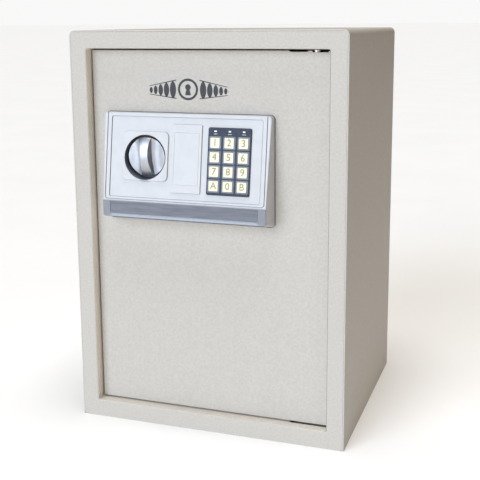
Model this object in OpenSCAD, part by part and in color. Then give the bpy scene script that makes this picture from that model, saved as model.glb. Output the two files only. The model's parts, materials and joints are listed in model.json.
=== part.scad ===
// In-room safe: a bent steel cabinet with a hinged door, a wedge-shaped
// control panel, a turning knob that throws two bolts, and a shelf inside.
// Millimetres. +X is to the right of someone facing the door, the door faces
// -Y, +Z is up. The origin is the middle of the cabinet's underside.

/* [Cabinet] */
// Overall width, side to side
body_w = 350; // [340:5:400]
// Overall height
body_h = 500; // [495:5:560]
// Overall depth, front of the frame to the back plate
body_d = 300; // [260:5:360]
// Thickness of the wrapper, back, bottom and frame sheet
sheet = 2; // [1.5:0.5:2.5]
// Outside bend radius where the sides meet the top
bend_r = 7; // [4:1:10]
// Width of the frame border around the door
border = 22; // [20:1:24]
// Height of the shelf's upper face
shelf_z = 236; // [150:5:300]

/* [Door] */
// How far the door's face stands behind the front of the frame
recess = 13; // [12:1:16]
// Thickness of the door plate
door_t = 4; // [3:0.5:5]
// Gap between the door's edge and the frame
door_gap = 2; // [1.5:0.5:3]
// Depth of the folded stiffener behind the door plate
pan_d = 35; // [34:1:38]
// Diameter of the hinge pins
pin_d = 8; // [6:1:8]

/* [Lock] */
// Diameter of the two locking bolts
bolt_d = 18; // [14:1:18]
// How far the bolts travel
bolt_travel = 20; // [18:1:20]
// Height of the upper and lower bolt above and below the knob
bolt_rise = 75; // [65:1:78]
// Diameter of the knob's shaft
spindle_d = 12; // [10:1:12]

/* [Control panel] */
// Width of the panel where it meets the door
panel_w = 218; // [212:1:222]
// Thickness of the panel at its top edge
panel_high = 8; // [7:0.5:9]
// Thickness of the panel at the foot of its face
panel_low = 25; // [23:0.5:26]
// Diameter of the knob
knob_d = 48; // [44:1:48]
// Width of a key cap
key_w = 12; // [11:0.1:12.2]
// Height of a key cap
key_h = 12.4; // [11:0.1:12.6]
// Distance between key columns
key_pitch_x = 17.8; // [17.6:0.1:18]
// Distance between key rows
key_pitch_z = 17.1; // [17:0.05:17.3]

/* [Hidden] */
$fn = 48;
// slack between pieces that move past each other, and of a running fit
slack = 0.3;
fit = 0.05;
e = 0.01;

half_w = body_w / 2;
front_y = -body_d / 2;
back_y = body_d / 2;
inner_w = half_w - sheet;
open_x = half_w - border;
open_lo = border;
open_hi = body_h - border;
lip_d = 20;

door_y = front_y + recess;
door_back = door_y + door_t;
door_x = open_x - door_gap;
door_lo = open_lo + door_gap;
door_hi = open_hi - door_gap;
hinge_x = 133;
hinge_y = door_y + 10;
lug_h = 30;
bracket_t = 3;
notch_h = 4;
notch_x0 = 104;
notch_x1 = 148;
lip_cut_x = 95;
strike_lo = 120;
bracket_leg = 35;
shelf_front = -84;
shelf_fold = 18;
shelf_back_fold = 12;
tab_w = 12;
tab_half = 10;
mat_h = 3;
small_screw_r = 1.5;
screw_head_r = 3.5;
screw_head_h = 2;
boss_r = 4;

pan_x0 = -134;
pan_x1 = 118;
pan_lo = 46;
pan_hi = body_h - 46;
pan_back = door_back + pan_d;
cover_t = 1.5;

panel_x = -24;
panel_top = 401;
panel_foot = 267;
strip_lo = 273.5;
strip_hi = 294;
strip_t = 2;
strip_back = panel_low - 1;
strip_rim = 9;
strip_sink = 0.8;
wall = 2.5;
side_draft = 8.4;
tilt = atan((panel_low - panel_high) / (panel_top - strip_hi));

knob_x = -75;
knob_z = 347.5;
knob_face_y = door_y - 12;
knob_t = 8;
dish_r = 27.3;
dish_wall = 2;
frame_sq = 60;
mid_z = (knob_z - strip_hi) / cos(tilt);
cam_t = 3.5;
cam_y = door_back + 4;
cam_r = bolt_travel / 2 * sqrt(2);
cam_pin_r = 3;

plate_t = 3;
plate_y = cam_y + cam_t + 1.5;
bolt_y = plate_y + plate_t + bolt_d / 2;
bolt_tip = pan_x0 - 7;
bolt_root = -103;
stud_x = -60;
stud_rise = 84;
stud_r = 4;
hole_x = -50;
hole_z = 377;

lock_x = -21;
cover_w = 38;
cover_h = 82.5;
bezel_x = 33.2;
bezel_w = 54;
bezel_h = 80.4;
bezel_mid = 53;
bezel_t = 2.4;
key_x0 = bezel_x - key_pitch_x;
key_z0 = 75;
led_z = 88.7;
key_proud = 1.2;
key_slack = 0.4;
key_flange = 1;
key_stem = 0.6;
key_travel = 1.2;
mat_t = 0.8;
board_y = 6.6;

cell_d = 14.2;
cell_l = 50;
case_x = 62;
case_z = 250;
case_w = 4 * cell_d + 5;
case_h = cell_l + 10;
case_d = 18;
button_x = 96;
button_z = 380;

anchor_r = 5.5;
anchor_x = 90;
wall_anchor_z = 330;

KEY_NAMES = ["1", "2", "3", "4", "5", "6", "7", "8", "9", "a", "0", "b"];

// ---------- helpers ----------

// a box from its low corner to its high corner
module block(lo, hi) {
  translate(lo) cube([hi[0] - lo[0], hi[1] - lo[1], hi[2] - lo[2]]);
}

// a round bar along Y from y0 to y1
module bar_y(x, z, r, y0, y1) {
  translate([x, y1, z]) rotate([90, 0, 0]) cylinder(r = r, h = y1 - y0);
}

// a round bar along X from x0 to x1
module bar_x(y, z, r, x0, x1) {
  translate([x0, y, z]) rotate([0, 90, 0]) cylinder(r = r, h = x1 - x0);
}

// a round bar along Z from z0 to z1
module bar_z(x, y, r, z0, z1) {
  translate([x, y, z0]) cylinder(r = r, h = z1 - z0);
}

// a rectangle centred on [0, 0] with round corners
module round_rect(w, h, r) {
  square([w - 2 * r, h], center = true);
  square([w, h - 2 * r], center = true);
  for (i = [-1, 1], j = [-1, 1])
    translate([i * (w / 2 - r), j * (h / 2 - r)]) circle(r = r);
}

// places children on the sloping face of the panel: X stays, Y is inward, Z is up the face
module on_face(x, z) {
  translate([0, door_y - panel_low, strip_hi]) rotate([-tilt, 0, 0]) translate([x, 0, z]) children();
}

// a plate in the plane of the sloping face, from depth y0 to depth y1
module face_plate(x, z, w, h, r, y0, y1) {
  on_face(x, z) translate([0, y1, 0]) rotate([90, 0, 0]) linear_extrude(y1 - y0) round_rect(w, h, r);
}

// an upright arch, sides straight and top corners round, as a flat outline
module arch(half, top, r) {
  translate([-half, 0]) square([2 * half, top - r]);
  translate([-half + r, 0]) square([2 * (half - r), top]);
  for (i = [-1, 1]) translate([i * (half - r), top - r]) circle(r = r);
}

// ---------- cabinet ----------

module shell_wrap() {
  color("wheat") translate([0, back_y, 0]) rotate([90, 0, 0]) linear_extrude(body_d) difference() {
    arch(half_w, body_h, bend_r);
    translate([0, -e]) arch(inner_w, body_h - sheet + e, bend_r - sheet);
  }
}

// an upright sheet that fills the wrapper, from y0 to y1
module inner_sheet(y0, y1) {
  translate([0, y1, 0]) rotate([90, 0, 0]) linear_extrude(y1 - y0)
    arch(inner_w, body_h - sheet, bend_r - sheet);
}

module back_plate() {
  color("wheat") difference() {
    inner_sheet(back_y - sheet, back_y);
    block([-body_w, back_y - sheet - 1, -1], [body_w, back_y + 1, sheet]);
    for (i = [-1, 1]) bar_y(i * anchor_x, wall_anchor_z, anchor_r, back_y - sheet - 1, back_y + 1);
  }
}

module bottom_plate() {
  color("wheat") difference() {
    block([-inner_w, front_y + sheet, 0], [inner_w, back_y, sheet]);
    for (i = [-1, 1]) bar_z(i * anchor_x, 0, anchor_r, -1, sheet + 1);
  }
}

// a folded ring: the border seen from the front, and a lip that runs back around the opening
module front_frame() {
  short = door_y - 0.5;
  lip_back = front_y + lip_d;
  color("wheat") difference() {
    union() {
      inner_sheet(front_y, front_y + sheet);
      block([-open_x - sheet, front_y, open_lo - sheet], [open_x + sheet, lip_back, open_hi + sheet]);
    }
    block([-open_x, front_y - 1, open_lo], [open_x, lip_back + 1, open_hi]);
    block([lip_cut_x, short, 0], [open_x + sheet + 1, lip_back + 1, body_h]);
  }
}

// an upright strip behind the left lip, with the two holes that the bolts enter
module bolt_strike() {
  color("wheat") difference() {
    block([-open_x - sheet, front_y + lip_d, strike_lo], [-open_x, bolt_y + 16, open_hi - 10]);
    for (i = [-1, 1])
      bar_x(bolt_y, knob_z + i * bolt_rise, bolt_d / 2 + 1, -open_x - sheet - 1, -open_x + 1);
  }
}

// an angle welded to the side of the cabinet; its flat leg holds the hinge pin
module hinge_bracket(z0, leg0, leg1) {
  color("silver") difference() {
    union() {
      block([hinge_x - 22, door_y + 1, z0], [inner_w, hinge_y + 17, z0 + bracket_t]);
      block([inner_w - bracket_t, door_y + 1, leg0], [inner_w, hinge_y + 17, leg1]);
    }
    bar_z(hinge_x, hinge_y, pin_d / 2 + fit, z0 - 1, z0 + bracket_t + 1);
  }
}
module hinge_bracket_top() { hinge_bracket(open_hi - 1, open_hi - 1 - bracket_leg, open_hi - 1 + bracket_t); }
module hinge_bracket_bottom() { hinge_bracket(open_lo + 1 - bracket_t, open_lo + 1 - bracket_t, open_lo + 1 + bracket_leg); }

module shelf() {
  color("ivory") {
    block([-inner_w + 1, shelf_front, shelf_z - sheet], [inner_w - 1, back_y - sheet - 1, shelf_z]);
    block([-inner_w + 1, shelf_front, shelf_z - shelf_fold], [inner_w - 1, shelf_front + sheet, shelf_z - sheet]);
    block([-inner_w + 1, back_y - sheet * 2 - 1, shelf_z - shelf_back_fold], [inner_w - 1, back_y - sheet - 1, shelf_z - sheet]);
  }
}

// four pressed tabs on the cabinet's sides that carry the shelf
module shelf_supports() {
  color("silver") for (i = [-1, 1], y = [-60, 110]) {
    block([i < 0 ? -inner_w : inner_w - tab_w, y - tab_half, shelf_z - sheet * 2],
      [i < 0 ? -inner_w + tab_w : inner_w, y + tab_half, shelf_z - sheet]);
    block([i < 0 ? -inner_w : inner_w - sheet, y - tab_half, shelf_z - shelf_fold - sheet],
      [i < 0 ? -inner_w + sheet : inner_w, y + tab_half, shelf_z - sheet * 2]);
  }
}

module floor_mat() {
  color("dimgray") difference() {
    block([-inner_w + 4, front_y + lip_d + 4, sheet], [inner_w - 4, back_y - sheet - 3, sheet + mat_h]);
    for (i = [-1, 1]) bar_z(i * anchor_x, 0, anchor_r + 6, 0, 20);
  }
}

// ---------- door ----------

module door_plate() {
  color("wheat") difference() {
    block([-door_x, door_y, door_lo], [door_x, door_back, door_hi]);
    block([notch_x0, door_y - 1, door_hi - notch_h], [notch_x1, door_back + 1, door_hi + 1]);
    bar_y(knob_x, knob_z, spindle_d / 2 + fit, door_y - 1, door_back + 1);
    bar_y(lock_x, knob_z, 9, door_y - 1, door_back + 1);
    bar_y(bezel_x, knob_z, 7, door_y - 1, door_back + 1);
    screw_places() bar_y(0, 0, small_screw_r, door_y - 1, door_back + 1);
  }
}

// the folded stiffener that frames the lock work; the bolts run through its left wall
module door_pan() {
  t = 2;
  color("ivory") difference() {
    block([pan_x0, door_back, pan_lo], [pan_x1, pan_back, pan_hi]);
    block([pan_x0 + t, door_back - 1, pan_lo + t], [pan_x1 - t, pan_back + 1, pan_hi - t]);
    for (i = [-1, 1])
      bar_x(bolt_y, knob_z + i * bolt_rise, bolt_d / 2 + fit, pan_x0 - 1, pan_x0 + t + 1);
  }
}

module inner_cover() {
  color("ivory") difference() {
    block([pan_x0, pan_back, pan_lo], [pan_x1, pan_back + cover_t, pan_hi]);
    block([case_x - case_w / 2, pan_back - 1, case_z - case_h / 2],
      [case_x + case_w / 2, pan_back + cover_t + 1, case_z + case_h / 2]);
    bar_y(button_x, button_z, 3.5, pan_back - 1, pan_back + cover_t + 1);
  }
}

module cover_screws() {
  color("silver") for (x = [pan_x0 + 10, pan_x1 - 10], z = [pan_lo + 10, 175, 325, pan_hi - 10])
    difference() {
      bar_y(x, z, screw_head_r, pan_back + cover_t, pan_back + cover_t + screw_head_h);
      block([x - 2.5, pan_back + cover_t + 1, z - 0.4], [x + 2.5, pan_back + cover_t + 3, z + 0.4]);
      block([x - 0.4, pan_back + cover_t + 1, z - 2.5], [x + 0.4, pan_back + cover_t + 3, z + 2.5]);
    }
}

// two blocks welded behind the door plate that hold the hinge pins
module hinge_lugs() {
  color("silver") for (z = [door_lo + 8, door_hi - 8 - lug_h]) difference() {
    block([hinge_x - 12, door_back, z], [hinge_x + 10, hinge_y + 10, z + lug_h]);
    bar_z(hinge_x, hinge_y, pin_d / 2, z - 1, z + lug_h + 1);
  }
}

// a pin with a collar that keeps the lug off the bracket
module hinge_pin_top() {
  color("gainsboro") union() {
    bar_z(hinge_x, hinge_y, pin_d / 2, door_hi - 8 - lug_h, open_hi + 5);
    bar_z(hinge_x, hinge_y, pin_d / 2 + 2, door_hi - 8, open_hi - 1 - slack);
  }
}
module hinge_pin_bottom() {
  color("gainsboro") union() {
    bar_z(hinge_x, hinge_y, pin_d / 2, open_lo - 5, door_lo + 8 + lug_h);
    bar_z(hinge_x, hinge_y, pin_d / 2 + 2, open_lo + 1 + slack, door_lo + 8);
  }
}

// ---------- control panel ----------

// side view of the panel as [distance out from the door, height], drawn smaller by inset for the hollow
module wedge(inset) {
  polygon([
    [-1, panel_foot + inset], [strip_back - inset, strip_lo + inset], [strip_back - inset, strip_hi],
    [panel_low - inset, strip_hi + inset], [panel_high - inset, panel_top - inset], [-1, panel_top - inset]]);
}

// the wedge between two side walls that lean inwards
module panel_solid(inset) {
  half = panel_w / 2 - inset;
  intersection() {
    translate([panel_x - half - 1, door_y, 0]) rotate([90, 0, 90])
      linear_extrude(2 * half + 2) mirror([1, 0]) wedge(inset);
    translate([panel_x, door_y + e, 0]) rotate([0, 0, 180]) linear_extrude(body_h)
      polygon([[-half, -e], [half, -e], [half - 40 * tan(side_draft), 40], [-half + 40 * tan(side_draft), 40]]);
  }
}

module panel_housing() {
  color("whitesmoke") difference() {
    intersection() {
      panel_solid(0);
      block([-200, door_y - 60, 0], [200, door_y, body_h]);
    }
    difference() {
      panel_solid(wall);
      screw_places() bar_y(0, 0, boss_r, door_y - 60, door_y + 1);
    }
    screw_places() bar_y(0, 0, small_screw_r, door_y - 6, door_y + 1);
    bar_y(knob_x, knob_z, dish_r + dish_wall, door_y - 60, door_y - 1);
    face_plate(lock_x, mid_z, cover_w - 4, cover_h - 4, 1, -5, 20);
    face_plate(bezel_x, bezel_mid, bezel_w - 3, bezel_h - 3, 1, -5, 20);
    face_plate(lock_x, mid_z, cover_w + 2 * slack, cover_h + 2 * slack, 1, -5, 1.2);
  }
}

module panel_trim_strip() {
  half = panel_w / 2 - strip_back * tan(side_draft);
  y0 = door_y - strip_back - strip_t;
  y1 = door_y - strip_back;
  color("lightsteelblue") difference() {
    block([panel_x - half, y0, strip_lo], [panel_x + half, y1, strip_hi - 0.5]);
    block([panel_x - half + strip_rim, y0 - 1, strip_lo + 4], [panel_x + half - strip_rim, y0 + strip_sink, strip_hi - 2]);
  }
}

// the four places where screws come through the door plate into the panel's bosses
module screw_places() {
  for (x = [panel_x - 97, panel_x + 97], z = [284, 386]) translate([x, 0, z]) children();
}

module panel_screws() {
  color("silver") screw_places() union() {
    bar_y(0, 0, screw_head_r, door_back, door_back + screw_head_h);
    bar_y(0, 0, small_screw_r, door_y - 6, door_back);
  }
}

// a raised square around a round dish; the dish runs back to the door
module knob_bezel() {
  color("whitesmoke") difference() {
    union() {
      face_plate(knob_x, mid_z, frame_sq, frame_sq, 6, -1, 0);
      intersection() {
        bar_y(knob_x, knob_z, dish_r + dish_wall, door_y - 40, door_y);
        face_plate(knob_x, mid_z, 100, 100, 1, -0.5, 40);
      }
    }
    bar_y(knob_x, knob_z, dish_r, door_y - 40, door_y - 2);
    bar_y(knob_x, knob_z, spindle_d / 2 + fit, door_y - 3, door_y + 1);
  }
}

module keypad_bezel() {
  color("midnightblue") difference() {
    union() {
      face_plate(bezel_x, bezel_mid, bezel_w, bezel_h, 2.5, -0.8, 0);
      face_plate(bezel_x, bezel_mid, bezel_w - 3, bezel_h - 3, 1, 0, bezel_t - 0.8);
    }
    for (i = [0:11])
      face_plate(key_col(i), key_row(i), key_w + 2 * key_slack, key_h + 2 * key_slack, 0.8, -3, 5);
    for (i = [0:2]) face_plate(key_col(i), led_z, 3.4, 1.8, 0.4, -3, 5);
  }
}
function key_col(i) = key_x0 + (i % 3) * key_pitch_x;
function key_row(i) = key_z0 - floor(i / 3) * key_pitch_z;

module led_lenses() {
  color("white") for (i = [0:2]) face_plate(key_col(i), led_z, 3.4, 1.8, 0.4, -1, 4);
}

// the cap stands proud of the bezel, and a flange under the bezel keeps it in
module key(i) {
  under = bezel_t - 0.8 + slack;
  stem_y = under + key_flange;
  color("lemonchiffon") union() {
    face_plate(key_col(i), key_row(i), key_w, key_h, 0.7, -0.8 - key_proud, under);
    face_plate(key_col(i), key_row(i), key_w + 2, key_h + 2, 0.7, under, stem_y);
    face_plate(key_col(i), key_row(i), 4, 4, 0.5, stem_y, stem_y + key_stem);
  }
}

// the silicone sheet with one dome under each key
module dome_mat() {
  pressed = bezel_t - 0.8 + slack + key_flange + key_stem + key_travel;
  color("lightgray") union() {
    face_plate(bezel_x, bezel_mid, bezel_w - 4, bezel_h - 4, 1, board_y - mat_t, board_y);
    for (i = [0:11]) on_face(key_col(i), key_row(i)) translate([0, board_y - mat_t, 0])
      rotate([90, 0, 0]) cylinder(r = 3.5, h = board_y - mat_t - pressed - slack);
  }
}

module circuit_board() {
  color("darkgreen") {
    face_plate(bezel_x, bezel_mid, bezel_w - 4, bezel_h - 4, 1, board_y, board_y + 1.6);
    for (z = [12, 34]) face_plate(bezel_x - 12, z, 12, 9, 0.5, board_y + 1.6, board_y + 4);
  }
}

// ---------- lock ----------

module lock_barrel() {
  color("silver") difference() {
    union() {
      bar_y(lock_x, knob_z, 9, door_y - 10, door_back + 12);
      bar_y(lock_x, knob_z, 12, door_back, door_back + 3);
    }
    bar_y(lock_x, knob_z, 6 + fit, door_y - 11, door_back + 13);
  }
}

module lock_plug() {
  color("gold") difference() {
    bar_y(lock_x, knob_z, 6, door_y - 10, door_back + 13);
    block([lock_x - 3.5, door_y - 11, knob_z - 0.6], [lock_x + 3.5, door_y - 2, knob_z + 0.6]);
  }
}

module lock_tongue() {
  color("silver") union() {
    bar_y(lock_x, knob_z, 7, door_back + 13, door_back + 15);
    block([lock_x, door_back + 13, knob_z - 5], [lock_x + 21, door_back + 15, knob_z + 5]);
  }
}

// headed studs on the door plate that the bolt plate slides on
module guide_studs() {
  color("silver") for (i = [-1, 1]) union() {
    z = knob_z + i * stud_rise;
    bar_y(stud_x, z, stud_r + 3, door_back, plate_y - slack);
    bar_y(stud_x, z, stud_r, door_back, plate_y + plate_t + 2 + slack);
    bar_y(stud_x, z, stud_r + 3, plate_y + plate_t + slack, plate_y + plate_t + 2 + slack);
  }
}

module solenoid_body() {
  color("goldenrod") difference() {
    block([hole_x - 14, plate_y + plate_t + 4, hole_z - 12], [hole_x + 14, pan_back, hole_z + 12]);
    bar_y(hole_x, hole_z, 3 + fit, plate_y, pan_back - 2);
  }
}

module solenoid_plunger() {
  color("gainsboro") bar_y(hole_x, hole_z, 3, plate_y + plate_t + 0.5, pan_back - 7);
}

// a slot along X between two hole centres
module slot_y(x0, x1, z, r, y0, y1) {
  bar_y(x0, z, r, y0, y1);
  bar_y(x1, z, r, y0, y1);
  block([x0, y0, z - r], [x1, y1, z + r]);
}

// the carriage: slots for the studs, an upright slot for the cam pin, two holes for the plunger
module bolt_plate() {
  y0 = plate_y;
  y1 = plate_y + plate_t;
  pin_x = knob_x + bolt_travel / 2;
  pin_z = knob_z + bolt_travel / 2;
  pin_slot_r = cam_pin_r + 0.8;
  color("silver") difference() {
    union() {
      block([bolt_root, y0, knob_z - bolt_rise - 20], [lock_x - 13, y1, knob_z + bolt_rise + 20]);
      block([lock_x - 14, y0, hole_z - 11], [lock_x - 1, y1, hole_z + 11]);
      for (i = [-1, 1])
        block([bolt_root, y1, knob_z + i * bolt_rise - 12], [bolt_root + plate_t, y1 + 18, knob_z + i * bolt_rise + 12]);
    }
    for (i = [-1, 1])
      slot_y(stud_x, stud_x + bolt_travel, knob_z + i * stud_rise, stud_r + slack, y0 - 1, y1 + 1);
    for (dz = [-0.6, cam_r - bolt_travel / 2 + 0.6]) bar_y(pin_x, pin_z + dz, pin_slot_r, y0 - 1, y1 + 1);
    block([pin_x - pin_slot_r, y0 - 1, pin_z - 0.6],
      [pin_x + pin_slot_r, y1 + 1, knob_z + cam_r + 0.6]);
    for (dx = [0, bolt_travel]) bar_y(hole_x + dx, hole_z, 3.6, y0 - 1, y1 + 1);
  }
}

module bolt_bar(side) {
  z = knob_z + side * bolt_rise;
  color("gainsboro") union() {
    bar_x(bolt_y, z, bolt_d / 2, bolt_tip + 1.5, bolt_root);
    translate([bolt_tip, bolt_y, z]) rotate([0, 90, 0]) cylinder(r1 = bolt_d / 2 - 1.5, r2 = bolt_d / 2, h = 1.5);
  }
}
module bolt_upper() { bolt_bar(1); }
module bolt_lower() { bolt_bar(-1); }

// a round disc with an upright grip; the grip is arched in front and waisted at the middle
module knob_grip() {
  r = knob_d / 2;
  grip_h = 9;
  arch_r = 44;
  waist_r = 60;
  color("silver") difference() {
    union() {
      bar_y(knob_x, knob_z, r, knob_face_y, knob_face_y + knob_t);
      intersection() {
        bar_y(knob_x, knob_z, r - 0.5, knob_face_y - grip_h, knob_face_y + 1);
        bar_x(knob_face_y - grip_h + arch_r, knob_z, arch_r, knob_x - 8, knob_x + 8);
        difference() {
          block([knob_x - 8, knob_face_y - grip_h, knob_z - r], [knob_x + 8, knob_face_y + 1, knob_z + r]);
          for (i = [-1, 1])
            bar_y(knob_x + i * (waist_r + 4.4), knob_z, waist_r, knob_face_y - grip_h - 1, knob_face_y);
        }
      }
    }
    bar_y(knob_x, knob_z, spindle_d / 2, knob_face_y + knob_t - 6, knob_face_y + knob_t + 1);
  }
}

module knob_spindle() {
  color("gainsboro") bar_y(knob_x, knob_z, spindle_d / 2, knob_face_y + knob_t - 6, cam_y);
}

// the disc on the shaft's inner end, with the pin that drives the bolt plate
module bolt_cam() {
  pin_x = knob_x + bolt_travel / 2;
  pin_z = knob_z + bolt_travel / 2;
  color("silver") union() {
    bar_y(knob_x, knob_z, 19, cam_y, cam_y + cam_t);
    bar_y(pin_x, pin_z, cam_pin_r, cam_y + cam_t, plate_y + plate_t + 1.5);
  }
}

// the push-in plate over the emergency lock, with two snap legs
module key_cover() {
  color("whitesmoke") {
    face_plate(lock_x, mid_z, cover_w, cover_h, 1, -0.5, 1.2 - slack);
    for (i = [-1, 1])
      face_plate(lock_x, mid_z + i * (cover_h / 2 - 6), 10, 2, 0.5, 1.2 - slack, 5);
  }
}

// ---------- battery, wires, reset ----------

module battery_case() {
  t = 1.5;
  y0 = pan_back - case_d + cover_t;
  color("dimgray") difference() {
    block([case_x - case_w / 2, y0, case_z - case_h / 2], [case_x + case_w / 2, pan_back + cover_t, case_z + case_h / 2]);
    block([case_x - case_w / 2 + t, y0 + t, case_z - case_h / 2 + t],
      [case_x + case_w / 2 - t, pan_back + cover_t + 1, case_z + case_h / 2 - t]);
  }
}

module batteries() {
  y = pan_back + cover_t - cell_d / 2 - 0.8;
  for (i = [0:3]) {
    s = i % 2 == 0 ? 1 : -1;
    x = case_x + (i - 1.5) * (cell_d + 0.4);
    color("black") bar_z(x, y, cell_d / 2, case_z - cell_l / 2 + (s < 0 ? 1.3 : 0), case_z + cell_l / 2 - (s > 0 ? 1.3 : 0));
    color("silver") bar_z(x, y, 2.7, case_z + (s > 0 ? cell_l / 2 - 1.3 : -cell_l / 2),
      case_z + (s > 0 ? cell_l / 2 : -cell_l / 2 + 1.3));
  }
}

// spring plates at both ends of every cell
module battery_contacts() {
  y = pan_back + cover_t - cell_d / 2 - 0.8;
  gap = (case_h - 3 - cell_l) / 2;
  color("silver") for (i = [0:3], s = [-1, 1]) {
    x = case_x + (i - 1.5) * (cell_d + 0.4);
    z = case_z + s * (cell_l / 2 + gap);
    block([x - 5, y - 5, min(z, z - s * 0.6)], [x + 5, y + 5, max(z, z - s * 0.6)]);
    bar_z(x, y, 3, min(z - s * 0.6, z - s * gap), max(z - s * 0.6, z - s * gap));
  }
}

module battery_lid() {
  y0 = pan_back + cover_t + slack;
  color("ivory") union() {
    block([case_x - case_w / 2 - 3, y0, case_z - case_h / 2 - 3], [case_x + case_w / 2 + 3, y0 + 1.8, case_z + case_h / 2 + 3]);
    for (i = [0:4]) block([case_x - 14 + i * 4, y0 + 1.8, case_z - 9], [case_x - 12 + i * 4, y0 + 2.4, case_z + 9]);
  }
}

module reset_button() {
  y1 = pan_back + cover_t;
  color("firebrick") union() {
    bar_y(button_x, button_z, 3.5 - slack, y1 - 4, y1 + 2.5);
    bar_y(button_x, button_z, 5, y1 - 5, y1 - 4);
  }
}

// wires inside the door, from the panel to the battery case and to the solenoid
module wire_loom() {
  r = 1.4;
  y = door_back + 2.5;
  deep = pan_back - 10;
  low = case_z + case_h / 2;
  color("firebrick") union() {
    bar_y(bezel_x, knob_z, r, door_y - 8, y);
    bar_x(y, knob_z, r, bezel_x, case_x);
    bar_z(case_x, y, r, low + 6, knob_z);
    bar_y(case_x, low + 6, r, y, deep);
    bar_z(case_x, deep, r, low, low + 6);
    bar_z(bezel_x, y, r, knob_z, hole_z);
    bar_y(bezel_x, hole_z, r, y, deep);
    bar_x(deep, hole_z, r, hole_x + 14, bezel_x);
    for (p = [[bezel_x, y, knob_z], [case_x, y, knob_z], [case_x, y, low + 6], [case_x, deep, low + 6],
        [bezel_x, y, hole_z], [bezel_x, deep, hole_z]])
      translate(p) sphere(r = r);
  }
}

shell_wrap();
back_plate();
bottom_plate();
front_frame();
bolt_strike();
hinge_bracket_top();
hinge_bracket_bottom();
shelf();
shelf_supports();
floor_mat();
door_plate();
door_pan();
inner_cover();
cover_screws();
hinge_lugs();
hinge_pin_top();
hinge_pin_bottom();
panel_housing();
panel_trim_strip();
panel_screws();
knob_bezel();
keypad_bezel();
led_lenses();
dome_mat();
circuit_board();
lock_barrel();
guide_studs();
solenoid_body();
battery_case();
batteries();
battery_contacts();
wire_loom();
knob_grip();
knob_spindle();
bolt_cam();
bolt_plate();
bolt_upper();
bolt_lower();
key_cover();
lock_plug();
lock_tongue();
solenoid_plunger();
battery_lid();
reset_button();
for (i = [0:11]) key(i);
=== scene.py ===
# %% [markdown]
# # A hotel room safe
# The safe is a box of bent steel sheet with a hinged door. On the door sits a sloping plastic panel with a
# knob, a keypad and a small cover over the emergency lock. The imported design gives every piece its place
# and its motion. This lesson gives each piece its looks: soft edges, real thickness, seams, and finishes.

# %% Load the frame
import json
import math

import bmesh
import bpy
from mathutils import Matrix, Vector


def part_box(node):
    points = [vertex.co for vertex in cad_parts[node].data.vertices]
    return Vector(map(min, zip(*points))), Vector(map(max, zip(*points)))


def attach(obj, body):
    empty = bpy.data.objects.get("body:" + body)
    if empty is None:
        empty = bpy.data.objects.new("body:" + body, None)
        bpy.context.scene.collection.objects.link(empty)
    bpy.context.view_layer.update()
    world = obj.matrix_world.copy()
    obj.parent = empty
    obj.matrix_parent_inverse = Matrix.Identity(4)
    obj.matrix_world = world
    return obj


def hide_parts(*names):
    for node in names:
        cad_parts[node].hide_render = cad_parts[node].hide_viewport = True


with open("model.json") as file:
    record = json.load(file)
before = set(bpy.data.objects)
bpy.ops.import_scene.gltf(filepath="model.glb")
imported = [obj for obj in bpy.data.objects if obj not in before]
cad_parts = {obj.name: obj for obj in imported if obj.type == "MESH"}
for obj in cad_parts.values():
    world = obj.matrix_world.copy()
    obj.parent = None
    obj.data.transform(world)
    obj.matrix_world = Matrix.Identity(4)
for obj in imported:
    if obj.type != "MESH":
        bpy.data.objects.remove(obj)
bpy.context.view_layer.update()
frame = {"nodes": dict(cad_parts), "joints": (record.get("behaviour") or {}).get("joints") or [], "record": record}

MM = 0.001

# %% [markdown]
# The camera comes first, because everything is judged through it. It stands to the right of the safe and a
# little above it, and looks slightly down, so that the right side and a thin strip of the top are seen. In a
# studio a shifted lens keeps uprights nearly upright, and so it does here.

# %% Camera
cam_data = bpy.data.cameras.new("camera")
cam_data.sensor_width = 36
cam_data.lens = 67.03
cam_data.shift_y = -0.108
camera = bpy.data.objects.new("camera", cam_data)
bpy.context.scene.collection.objects.link(camera)
camera.location = (0.3858, -1.1334, 0.5077)
turn_left, look_down, roll = 0.333, 0.183, -0.007
aim = Vector((-math.sin(turn_left) * math.cos(look_down), math.cos(turn_left) * math.cos(look_down),
              -math.sin(look_down)))
camera.rotation_mode = "QUATERNION"
camera.rotation_quaternion = aim.to_track_quat("-Z", "Y") @ Matrix.Rotation(roll, 4, "Z").to_quaternion()
bpy.context.scene.camera = camera
print("camera aims along", [round(v, 3) for v in aim])

# %% [markdown]
# The floor is a plain pale sheet. The light is that of a white studio: one broad lamp at the front left,
# one broad lamp overhead that keeps the floor white, and a weak warm glow from all round. A sun with a wide
# angle acts as an endless soft box, so the floor stays even. The right side of the safe gets only what the
# floor sends back. A warm brown board takes part of that away, as is done in a studio to shape a pale object
# on a white ground. It is hidden from the camera and casts no shadow under the lamps. The camera also sees
# a paler colour behind the floor than the glow that lights the room.

# %% Floor, room and lamps
bpy.ops.object.select_all(action="DESELECT")
bpy.ops.mesh.primitive_plane_add(size=600)
floor = bpy.context.object
floor.name = "floor"
bpy.ops.mesh.primitive_plane_add(size=1, location=(0.8, 0.45, 0.55), rotation=(0, math.radians(-90), 0))
board = bpy.context.object
board.name = "side_board"
board_high, board_long = 1.1, 1.6
board.scale = (board_high, board_long, 1)
board.visible_camera = board.visible_shadow = False

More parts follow.
